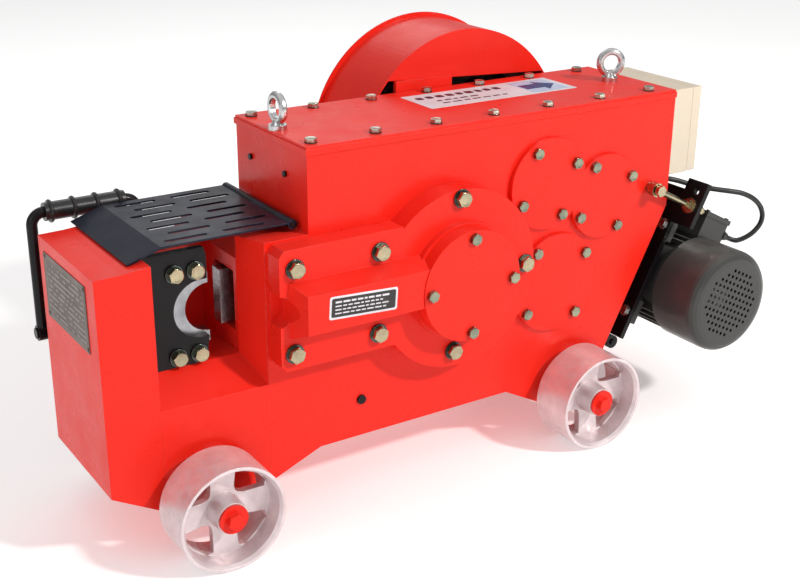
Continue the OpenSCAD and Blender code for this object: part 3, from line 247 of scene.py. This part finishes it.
RED = (0.82, 0.020, 0.010)
M = {
    "red": paint("red_paint", RED),
    "red_cast": paint("red_paint_on_casting", RED, rough=0.3, peel=0.28, grain=140),
    "red_sheet": paint("red_paint_on_sheet", toned(RED, 0.97), rough=0.3, peel=0.08, grain=300),
    # Painted shade: the red paint made darker for the ram inside the throat, which has the same red paint as
    # the rest
    "red_painted_shade": paint("red_paint_with_painted_shade", toned(RED, 0.8), rough=0.4, coat=0.1),
    "black": paint("black_paint", (0.006, 0.005, 0.006), rough=0.32, coat=0.10, peel=0.2, dust=0.03,
                   wear=0.30),
    "blue_black": paint("blue_black_sheet", (0.007, 0.011, 0.024), rough=0.34, coat=0.10, peel=0.15,
                        dust=0.03, wear=0.5, edge=0.8 * MM),
    "beige": paint("beige_powder_coat", (0.66, 0.57, 0.45), rough=0.42, coat=0.1, peel=0.35, grain=650,
                   dust=0.1, wear=0.25, edge=1.5 * MM),
    "grey": paint("motor_grey_paint", (0.048, 0.048, 0.046), rough=0.36, coat=0.25, peel=0.2, grain=260,
                  dust=0.12, wear=0.45),
    "zinc": metal("yellow_zinc", (0.50, 0.43, 0.27), 0.24, second=(0.34, 0.30, 0.20),
                  rust=(0.22, 0.17, 0.11), spots=0.5),
    "zinc_dark": metal("green_zinc", (0.34, 0.35, 0.24), 0.24, second=(0.17, 0.20, 0.16),
                       rust=(0.36, 0.26, 0.11), spots=0.6),
    "washer": metal("dark_washer", (0.10, 0.12, 0.11), 0.22, second=(0.05, 0.07, 0.07)),
    "lid_screw": metal("pale_zinc", (0.62, 0.60, 0.48), 0.26, second=(0.40, 0.42, 0.36)),
    "bright": metal("bright_zinc", (0.70, 0.70, 0.69), 0.26, second=(0.52, 0.53, 0.53)),
    "steel": metal("turned_steel", (0.50, 0.50, 0.50), 0.34, brushed=(1, 12, 1)),
    "blade": metal("tool_steel", (0.42, 0.43, 0.45), 0.30, second=(0.24, 0.25, 0.27), brushed=(10, 1, 1)),
    "wheel": metal("wheel_casting", (0.78, 0.69, 0.70), 0.44, second=(0.66, 0.57, 0.58),
                   rust=(0.48, 0.36, 0.33), spots=0.30, grain=90, bump=0.3, metallic=0.55, edge=1.2 * MM),
    "iron": metal("grey_iron", (0.20, 0.20, 0.20), 0.5, rust=(0.20, 0.09, 0.04), spots=0.5, grain=120,
                  bump=0.4),
    "bronze": metal("bronze", (0.60, 0.38, 0.16), 0.32),
    "rubber": plastic("black_rubber", (0.010, 0.010, 0.010), rough=0.42),
    "grip": plastic("grip_plastic", (0.009, 0.009, 0.010), rough=0.30, coat=0.2),
    "green": plastic("green_button", (0.01, 0.26, 0.05), rough=0.3, coat=0.4),
    "red_button": plastic("red_button", (0.55, 0.01, 0.008), rough=0.3, coat=0.4),
}


def plate_material():
    """Anodised rating plate: dull brushed metal with a printed table of plain bars."""
    n = Nodes("rating_plate")
    lo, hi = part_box("nameplate")
    sep = n.add("ShaderNodeSeparateXYZ")
    n.link(n.coords, sep.inputs[0])
    v = n.span(sep.outputs["Z"], lo[2], hi[2])
    u = n.span(sep.outputs["Y"], lo[1], hi[1])
    rows = 12
    columns = 26
    gaps = 0.34
    cell = n.math("FRACT", n.math("MULTIPLY", v, rows), 0)
    bar = n.math("MULTIPLY", n.math("GREATER_THAN", cell, 0.30), n.math("LESS_THAN", cell, 0.66))
    chunk = n.add("ShaderNodeTexWhiteNoise", noise_dimensions="2D")
    both = n.add("ShaderNodeCombineXYZ")
    n.link(n.math("FLOOR", n.math("MULTIPLY", u, columns), 0), both.inputs[0])
    n.link(n.math("FLOOR", n.math("MULTIPLY", v, rows), 0), both.inputs[1])
    n.link(both.outputs[0], chunk.inputs["Vector"])
    bar = n.math("MULTIPLY", bar, n.math("GREATER_THAN", chunk.outputs["Value"], gaps))
    inner = n.math("MULTIPLY", n.within(u, 0.43), n.within(v, 0.42))
    frame_line = n.math("MULTIPLY", n.within(u, 0.465), n.math("SUBTRACT", 1, inner))
    ink = n.math("MAXIMUM", n.math("MULTIPLY", bar, inner), n.math("MULTIPLY", frame_line, 0.35))
    base = n.mix(n.span(n.noise(20, 5, 0.7), 0.35, 0.7), (0.11, 0.09, 0.08), (0.19, 0.15, 0.13))
    base = n.mix(n.math("MULTIPLY", ink, 0.75), base, (0.34, 0.30, 0.27))
    n.set(Base_Color=base, Metallic=0.35, Roughness=n.span(n.noise(200, 3, 0.6), 0.3, 0.7, 0.42, 0.6),
          Specular_IOR_Level=0.25)
    return n.mat


M["plate"] = plate_material()

USES = {
    "red": "case bed head lid wheel_bolts",
    "red_cast": "front_cover crank_cap bearing_covers rear_covers",
    "red_sheet": "belt_guard",
    # The ram gets the darker red with painted shade
    "red_painted_shade": "ram",
    "black": "blade_plate motor_plate plate_hinge hinge_base handle_bracket pull_handle service_plugs",
    "blue_black": "throat_cover",
    "beige": "switch_box switch_lid",
    "grey": "motor_body motor_cowl terminal_box",
    "zinc": "tension_rod guard_bolts cover_bolts blade_bolts",
    "zinc_dark": "bearing_bolts lid_bolts",
    "bright": "eye_bolts motor_bolts",
    "steel": "axles bearings wrist_pin input_shaft shaft_b gear_b shaft_c gear_c crank_gear motor_rotor",
    "blade": "fixed_blade moving_blade",
    "wheel": "wheel_front_near wheel_front_far wheel_rear_near wheel_rear_far",
    "iron": "con_rod flywheel crankshaft motor_pulley",
    "bronze": "ram_liners",
    "rubber": "motor_cable belts cable_glands",
    "grip": "handle_grip",
    "green": "start_button",
    "red_button": "stop_button",
    "plate": "nameplate",
}


def dress(node, material):
    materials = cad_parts[node].data.materials
    materials.clear()
    materials.append(material)


for key, names in USES.items():
    for node in names.split():
        dress(node, M[key])

# ---------------------------------------------------------------- mesh helpers


SHARP_ANGLE = math.radians(35)


def make(name, bm, material, hides=()):
    """Turns a bmesh in frame coordinates into a piece that rides on the machine."""
    mesh = bpy.data.meshes.new(name)
    bm.normal_update()
    bm.to_mesh(mesh)
    bm.free()
    mesh.materials.append(material)
    mesh.shade_smooth()
    mesh.set_sharp_from_angle(angle=SHARP_ANGLE)
    o = bpy.data.objects.new(name, mesh)
    bpy.context.scene.collection.objects.link(o)
    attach(o, "machine")
    if hides:
        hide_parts(*hides)


def basis(axis, turn):
    """Rotation that takes local +Z to axis, with a turn about it."""
    q = Vector((0, 0, 1)).rotation_difference(Vector(axis).normalized())
    return q.to_matrix().to_4x4() @ Matrix.Rotation(turn, 4, "Z")


def rings(bm, at, loops):
    """Skin over a list of loops, each a list of (x, y, z) in the local frame `at`, closed at both ends."""
    made = [[bm.verts.new(at @ Vector(p)) for p in loop] for loop in loops]
    count = len(made[0])
    for a, b in zip(made, made[1:]):
        for i in range(count):
            j = (i + 1) % count
            bm.faces.new((a[i], a[j], b[j], b[i]))
    bm.faces.new(list(reversed(made[0])))
    bm.faces.new(made[-1])


def circle(r, z, n):
    return [(r * math.cos(TAU * i / n), r * math.sin(TAU * i / n), z) for i in range(n)]


def lathe(bm, at, profile, n):
    """Solid of revolution about local Z from (radius, height) points, closed at both ends."""
    rings(bm, at, [circle(r, z, n) for r, z in profile])


def washer(bm, at, ro, ri, h, n=40):
    """Flat ring with a chamfer c on its outer edges."""
    c = min(0.25 * h, 0.4 * MM)
    profile = [(ri, 0), (ro - c, 0), (ro, c), (ro, h - c), (ro - c, h), (ri, h)]
    made = [[bm.verts.new(at @ Vector(p)) for p in circle(r, z, n)] for r, z in profile]
    made.append(made[0])
    for a, b in zip(made, made[1:]):
        for i in range(n):
            j = (i + 1) % n
            bm.faces.new((a[i], a[j], b[j], b[i]))


def hex_head(bm, at, flats, h):
    """Hexagon head with the turned chamfer that leaves curved corners, and a shallow dish on top."""
    n = 48
    a = flats / 2
    top_r = 0.94 * a
    lip_r = 0.87 * a
    dish_r = 0.80 * a
    dish_h = 0.97 * h
    slope = 0.55
    low, side = [], []
    for i in range(n):
        t = TAU * i / n
        local = (t + math.pi / 6) % (math.pi / 3) - math.pi / 6
        r = a / math.cos(local)
        drop = max(0.0, r - top_r) * slope
        c, s = math.cos(t), math.sin(t)
        low.append((r * c, r * s, 0))
        side.append((r * c, r * s, h - drop))
    rings(bm, at, [low, side, circle(top_r, h, n), circle(lip_r, h, n), circle(dish_r, dish_h, n)])


def spline(points, steps):
    """Smooth line through points (Catmull-Rom)."""
    p = [Vector(q) for q in points]
    p = [2 * p[0] - p[1]] + p + [2 * p[-1] - p[-2]]
    out = []
    for i in range(1, len(p) - 2):
        for s in range(steps):
            t = s / steps
            a, b, c, d = p[i - 1], p[i], p[i + 1], p[i + 2]
            out.append(0.5 * (2 * b + (c - a) * t + (2 * a - 5 * b + 4 * c - d) * t * t
                              + (3 * b - a - 3 * c + d) * t * t * t))
    out.append(p[-2])
    return out


def solids(node):
    """Boxes (low, high) of the separate solids of a CAD node, found by joining points that share an edge."""
    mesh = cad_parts[node].data
    grid = 0.05 * MM
    key = {}
    parent = []

    def find(i):
        while parent[i] != i:
            parent[i] = parent[parent[i]]
            i = parent[i]
        return i

    owner = []
    for v in mesh.vertices:
        k = tuple(round(c / grid) for c in v.co)
        if k not in key:
            key[k] = len(parent)
            parent.append(len(parent))
        owner.append(key[k])
    for e in mesh.edges:
        a, b = (find(owner[i]) for i in e.vertices)
        parent[a] = b
    groups = {}
    for v in mesh.vertices:
        groups.setdefault(find(owner[v.index]), []).append(v.co)
    found = []
    for g in groups.values():
        lo = Vector([min(c[i] for c in g) for i in range(3)])
        hi = Vector([max(c[i] for c in g) for i in range(3)])
        found.append((lo, hi))
    return sorted(found, key=lambda b: tuple(round(c, 4) for c in b[0]))


# ---------------------------------------------------------------- cable

# Where the frame's origin lies in part.scad's own coordinates, ox and oy there
ORIGIN = Vector((0.64614, 0.152, 0))
# Route of the lead in part.scad's millimetres, the same points as its cable_pts: listed one by one,
# but for the first and the last two, which are what its formulas give at the two boxes, rounded
CABLE = [
    (1141, 64, 461), (1141, 64, 455), (1143, 63, 449), (1148, 61, 443), (1154, 58, 440), (1162, 55, 439),
    (1171, 50, 438), (1183, 45, 435), (1198, 38, 430), (1215, 30, 424), (1232, 21, 419), (1249, 10, 416),
    (1266, 0, 413), (1284, -10, 410), (1304, -18, 405), (1328, -24, 393), (1347, -27, 376), (1358, -27, 356),
    (1359, -24, 336), (1349, -18, 318), (1335, -10, 306), (1320, -1, 300), (1306.66, 8, 304.64),
    (1296.84, 8, 309.61),
]
CABLE_D = 10 * MM


def add_cable():
    """Motor lead from the switch box to the terminal box, made before the other pieces."""
    pts = spline([Vector(p) * MM - ORIGIN for p in CABLE], 5)
    data = bpy.data.curves.new("motor_lead", "CURVE")
    data.dimensions = "3D"
    data.bevel_depth = CABLE_D / 2
    data.bevel_resolution = 6
    data.use_fill_caps = True
    s = data.splines.new("POLY")
    s.points.add(len(pts) - 1)
    for q, p in zip(s.points, pts):
        q.co = (*p, 1)
    s.use_smooth = True
    o = bpy.data.objects.new("motor_lead", data)
    bpy.context.scene.collection.objects.link(o)
    data.materials.append(M["rubber"])
    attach(o, "machine")
    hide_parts("motor_cable")


add_cable()

# ---------------------------------------------------------------- bolts

random.seed(7)

UP, FRONT, REAR = Vector((0, 0, 1)), Vector((0, -1, 0)), Vector((0, 1, 0))
END_PLAY = 0.5 * MM
SHANK_SIDES = 24

# Piece, CAD node, direction of the heads, flats, head height, material,
# and the washer's outer radius, inner radius and height
BOLTS = [
    ("lid_screws", "lid_bolts", UP, 17 * MM, 6.4 * MM, "lid_screw", (10 * MM, 5.2 * MM, 1.6 * MM)),
    ("cover_screws", "cover_bolts", FRONT, 24 * MM, 10 * MM, "zinc", (16 * MM, 8.4 * MM, 3 * MM)),
    ("blade_screws", "blade_bolts", FRONT, 22 * MM, 10 * MM, "zinc", (15 * MM, 8.4 * MM, 3 * MM)),
    ("bearing_screws", "bearing_bolts", FRONT, 18 * MM, 8 * MM, "zinc_dark", None),
    ("guard_screws", "guard_bolts", REAR, 13 * MM, 6 * MM, "bright", None),
]


def bolt_set(name, node, axis, flats, head, material, ring):
    """Detailed heads, washers and shanks in place of a CAD node of plain bolts."""
    along = max(range(3), key=lambda k: abs(axis[k]))
    shank_r = 0.29 * flats
    tip_r = 0.27 * flats
    chamfer = 1 * MM
    gap = 0.01 * MM
    heads = bmesh.new()
    rounds = bmesh.new()
    for lo, hi in solids(node):
        p = (lo + hi) / 2
        top = hi[along] if axis[along] > 0 else lo[along]
        root = lo[along] if axis[along] > 0 else hi[along]
        p[along] = top - axis[along] * head
        m = Matrix.Translation(p) @ basis(axis, random.uniform(0, TAU))
        hex_head(heads, m, flats, head)
        if ring:
            washer(rounds, m @ Matrix.Translation((0, 0, -ring[2])), *ring)
        depth = abs(top - root) - head - END_PLAY
        lathe(heads, m, [(tip_r, -depth), (shank_r, -depth + chamfer), (shank_r, -gap)], SHANK_SIDES)
    make(name, heads, M[material], hides=(node,))
    if ring:
        make(name + "_washers", rounds, M["washer"])
    else:
        rounds.free()


for row in BOLTS:
    bolt_set(*row)

# ---------------------------------------------------------------- labels


def sheet(bm, at, points, z0, z1):
    """Flat piece with a given outline between two heights of the local frame."""
    rings(bm, at, [[(x, y, z) for x, y in points] for z in (z0, z1)])


def rounded(w, h, r, cx=0.0, cy=0.0, n=5):
    """Outline of a rectangle w by h about (cx, cy) with corners of radius r."""
    out = []
    for i, (sx, sy) in enumerate(((1, 1), (-1, 1), (-1, -1), (1, -1))):
        for k in range(n + 1):
            a = math.pi / 2 * (i + k / n)
            x = cx + sx * (w / 2 - r) + r * math.cos(a)
            y = cy + sy * (h / 2 - r) + r * math.sin(a)
            out.append((x, y))
    return out


def word_bars(bm, at, row, layer, widths, space):
    """A row of plain bars of uneven length, in place of words.

    row is its two ends, middle height and thickness, and widths the least and most a bar has.
    """
    x, x1, y, h = row
    least, most = widths
    while x < x1 - least:
        w = min(random.uniform(least, most), x1 - x)
        sheet(bm, at, rounded(w, h, 0.25 * h, x + w / 2, y, 2), *layer)
        x += w + space


def label_frame(place, right, up, turn=0.0):
    """Local frame at a place on a face, with its x to the right and its y up the label."""
    right = Vector(right)
    up = Vector(up)
    out = right.cross(up)
    m = Matrix((
        (right.x, up.x, out.x, place[0]),
        (right.y, up.y, out.y, place[1]),
        (right.z, up.z, out.z, place[2]),
        (0, 0, 0, 1),
    ))
    return m @ Matrix.Rotation(turn, 4, "Z")


def on_machine(x, y, z):
    """Point in the frame from the machine's own millimetres."""
    return Vector((x, y, z)) * MM - ORIGIN


def scaled(values):
    return tuple(v * MM for v in values)


# Low and high face of each printed layer, over the face that the label is stuck to
LID_SHEET, LID_PRINT, LID_TOP = scaled((-0.05, 0.25)), scaled((0.2, 0.32)), scaled((0.3, 0.4))
TAG_SHEET, TAG_FIELD, TAG_PRINT = scaled((-0.05, 0.3)), scaled((0.25, 0.38)), scaled((0.36, 0.46))

# Width, height and corner radius of each sheet
NOTICE = scaled((322, 100, 3))
NOTICE_FIELD = scaled((82, 84, 2))
TAG = scaled((124, 38, 4))
TAG_INSIDE = scaled((117, 31, 3))

NOTICE_X, NOTICE_Y = 812, 155
FIELD_X = 108 * MM
TAG_PLACE = (403, -77, 388)
TAG_TURN = math.radians(-3.5)

# Millimetres: a row as word_bars takes it, the least and most a bar has, and the space between bars
NOTICE_ROWS = [
    ((-146, 52, 22, 17), (12, 17), 6),
    ((-120, -20, -6, 7), (9, 20), 5),
    ((-120, 20, -24, 6), (8, 22), 5),
]
ARROW = [(72, -16), (112, -16), (112, -32), (146, 0), (112, 32), (112, 16), (72, 16)]
# Middle height and thickness of each row of the housing label
TAG_ROWS = [(9, 3.2), (2.5, 2.2), (-3.5, 2.2), (-9.5, 2.2)]


def add_lid_notice(vinyl):
    """White notice on the lid: rows of bars on the left, an arrow on a pale field on the right."""
    ink = plastic("dark_ink", (0.030, 0.012, 0.035), rough=0.4, bump=0.05)
    blue = plastic("navy_ink", (0.014, 0.022, 0.16), rough=0.4, bump=0.05)
    pale = plastic("pale_blue_ink", (0.50, 0.56, 0.74), rough=0.4, bump=0.05)
    lid_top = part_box("lid")[1][2]
    place = on_machine(NOTICE_X, NOTICE_Y, 0) + Vector((0, 0, lid_top))
    at = label_frame(place, (1, 0, 0), (0, 1, 0))
    bm = bmesh.new()
    sheet(bm, at, rounded(*NOTICE), *LID_SHEET)
    make("lid_notice", bm, vinyl)
    bm = bmesh.new()
    for row, widths, space in NOTICE_ROWS:
        word_bars(bm, at, scaled(row), LID_PRINT, scaled(widths), space * MM)
    make("lid_notice_bars", bm, ink)
    bm = bmesh.new()
    sheet(bm, at, rounded(*NOTICE_FIELD, FIELD_X, 0), *LID_PRINT)
    make("lid_notice_field", bm, pale)
    bm = bmesh.new()
    sheet(bm, at, [scaled(p) for p in ARROW], *LID_TOP)
    make("lid_notice_arrow", bm, blue)


def add_housing_label(vinyl):
    """Black label with a white edge and rows of bars, on the face of the slideway housing."""
    film = plastic("black_film", (0.016, 0.014, 0.014), rough=0.3, bump=0.05)
    at = label_frame(on_machine(*TAG_PLACE), (1, 0, 0), (0, 0, 1), TAG_TURN)
    bm = bmesh.new()
    sheet(bm, at, rounded(*TAG), *TAG_SHEET)
    make("housing_label", bm, vinyl)
    bm = bmesh.new()
    sheet(bm, at, rounded(*TAG_INSIDE), *TAG_FIELD)
    make("housing_label_field", bm, film)
    bm = bmesh.new()
    for k, (y, thick) in enumerate(TAG_ROWS):
        row = (-52, 50 - 9 * (k % 2), y, thick)
        word_bars(bm, at, scaled(row), TAG_PRINT, scaled((5, 13)), 2.2 * MM)
    make("housing_label_bars", bm, vinyl)


white_vinyl = plastic("white_vinyl", (0.74, 0.72, 0.76), rough=0.35, bump=0.05)
add_lid_notice(white_vinyl)
add_housing_label(white_vinyl)

# ---------------------------------------------------------------- stage


def add_light(name, place, target, size, power, colour=(1, 1, 1)):
    data = bpy.data.lights.new(name, "AREA")
    data.shape = "DISK"
    data.size = size
    data.energy = power
    data.color = colour
    o = bpy.data.objects.new(name, data)
    bpy.context.scene.collection.objects.link(o)
    o.location = place
    o.rotation_mode = "QUATERNION"
    o.rotation_quaternion = (Vector(target) - Vector(place)).to_track_quat("-Z", "Y")


FLOOR_HALF = 60
FLOOR_SEGMENTS = 24
# The floor lies just below the wheels
FLOOR_Z = -0.5 * MM


def add_floor():
    bm = bmesh.new()
    bmesh.ops.create_grid(bm, x_segments=FLOOR_SEGMENTS, y_segments=FLOOR_SEGMENTS, size=FLOOR_HALF)
    mesh = bpy.data.meshes.new("floor")
    bm.to_mesh(mesh)
    bm.free()
    n = Nodes("pale_floor")
    base = n.mix(n.span(n.noise(0.7, 4, 0.6), 0.3, 0.7), (0.90, 0.90, 0.90), (0.92, 0.92, 0.92))
    n.set(Base_Color=base, Roughness=0.85, Emission_Color=(1.0, 1.0, 1.0), Emission_Strength=0.26)
    mesh.materials.append(n.mat)
    o = bpy.data.objects.new("floor", mesh)
    o.location.z = FLOOR_Z
    bpy.context.scene.collection.objects.link(o)


HORIZON_STRENGTH = 0.22
OVERHEAD_STRENGTH = 0.74
OVERHEAD_FROM = 0.9


def add_world():
    """White studio, dimmer at the horizon than overhead."""
    world = bpy.data.worlds.new("studio")
    world.use_nodes = True
    tree = world.node_tree
    coords = tree.nodes.new("ShaderNodeTexCoord")
    split = tree.nodes.new("ShaderNodeSeparateXYZ")
    ramp = tree.nodes.new("ShaderNodeMapRange")
    ramp.inputs["From Min"].default_value = 0.0
    ramp.inputs["From Max"].default_value = OVERHEAD_FROM
    ramp.inputs["To Min"].default_value = HORIZON_STRENGTH
    ramp.inputs["To Max"].default_value = OVERHEAD_STRENGTH
    tree.links.new(coords.outputs["Generated"], split.inputs[0])
    tree.links.new(split.outputs["Z"], ramp.inputs["Value"])
    tree.links.new(ramp.outputs["Result"], tree.nodes["Background"].inputs["Strength"])
    tree.nodes["Background"].inputs["Color"].default_value = (1, 1, 1, 1)
    bpy.context.scene.world = world


def add_lights():
    add_light("key", (2.3, -4.1, 3.7), (0, 0, 0.35), 0.45, 225, (1, 0.98, 0.95))
    add_light("fill", (-4.2, -1.6, 1.8), (0, 0, 0.3), 3.0, 34)
    add_light("back", (1.5, 3.6, 3.0), (0, 0, 0.4), 2.5, 18)


add_floor()
add_world()
add_lights()
bpy.context.scene.view_settings.view_transform = "Standard"
bpy.context.scene.view_settings.look = "None"
